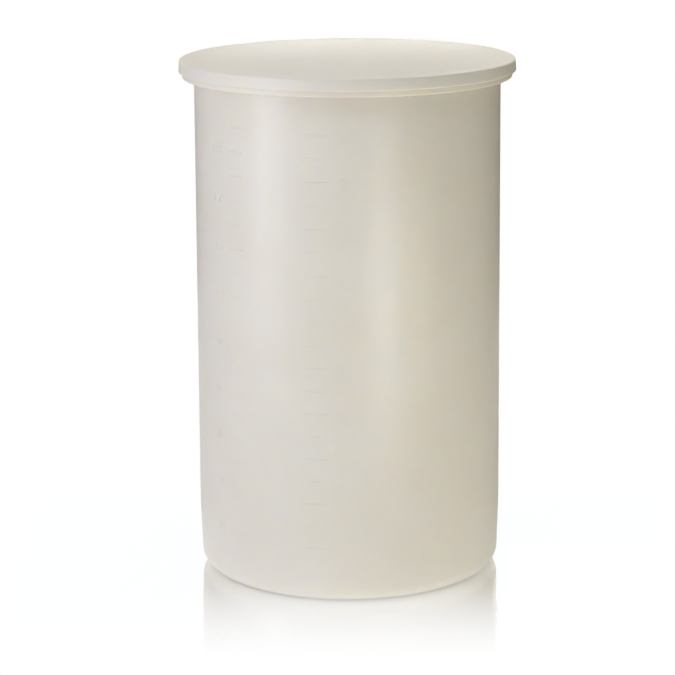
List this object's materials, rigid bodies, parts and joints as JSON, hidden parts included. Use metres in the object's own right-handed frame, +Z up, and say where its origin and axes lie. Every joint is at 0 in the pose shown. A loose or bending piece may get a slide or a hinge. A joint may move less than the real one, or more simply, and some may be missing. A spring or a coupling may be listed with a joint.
{
  "type": "plastic fermenting bucket",
  "caption": "Tall cylindrical open-top tank with a turned-down lip at its mouth, and a loose, slightly domed round lid that drops over the lip.",
  "frame": {"origin": "centre of the tank's underside, on the surface that it stands on", "axes": "+Z up along the axis that the tank and lid are turned about; -Y towards the side that faces the viewer, with the moulded volume scales on it and to its left"},
  "size_m": [0.6148, 0.6148, 0.958],
  "materials": {
    "tank_polyethylene": "rotationally moulded natural polyethylene, milky and slightly translucent, satin outside",
    "lid_polyethylene": "moulded natural polyethylene, milky, satin"
  },
  "bodies": {
    "tank": {"tank": "tank_polyethylene"},
    "lid": {"lid": "lid_polyethylene"}
  },
  "joints": [
    {"name": "lid_lift", "type": "slide", "parent": "tank", "child": "lid", "axis": [0, 0, 1], "range_m": [0, 0.3]}
  ]
}
